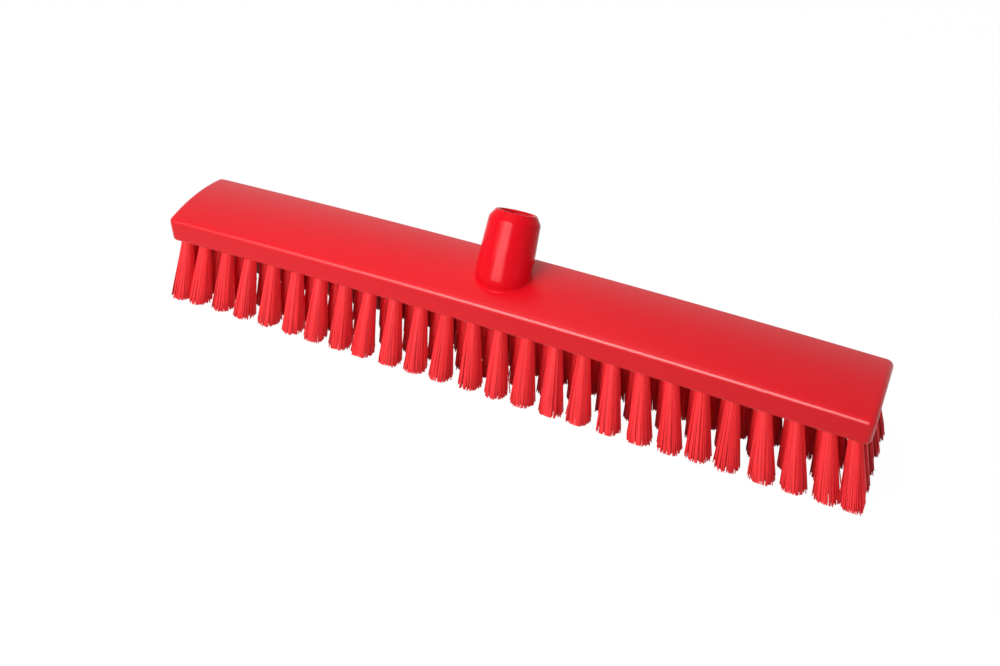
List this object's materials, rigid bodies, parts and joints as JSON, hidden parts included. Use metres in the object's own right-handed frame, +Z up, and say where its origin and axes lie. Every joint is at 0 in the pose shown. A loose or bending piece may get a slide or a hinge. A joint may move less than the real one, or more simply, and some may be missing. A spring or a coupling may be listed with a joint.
{
  "type": "push broom head",
  "caption": "Push broom head: long bowed block with a tilted threaded handle socket and five staggered rows of leaning filament tufts pinned by flat steel anchors.",
  "frame": {"origin": "on the floor, under the centre of the block, in the flat plane of the trimmed filament tips", "axes": "+X along the block, +Y towards the side that the handle socket leans to, +Z up"},
  "size_m": [0.5136, 0.0826, 0.1168],
  "materials": {
    "block": "satin moulded polypropylene",
    "tufts": "extruded polyester filament",
    "anchors": "flat stainless wire"
  },
  "bodies": {
    "root": {"block": "block", "front_row_tufts": "tufts", "second_row_tufts": "tufts", "middle_row_tufts": "tufts", "fourth_row_tufts": "tufts", "back_row_tufts": "tufts", "front_row_anchors": "anchors", "second_row_anchors": "anchors", "middle_row_anchors": "anchors", "fourth_row_anchors": "anchors", "back_row_anchors": "anchors"}
  },
  "joints": []
}
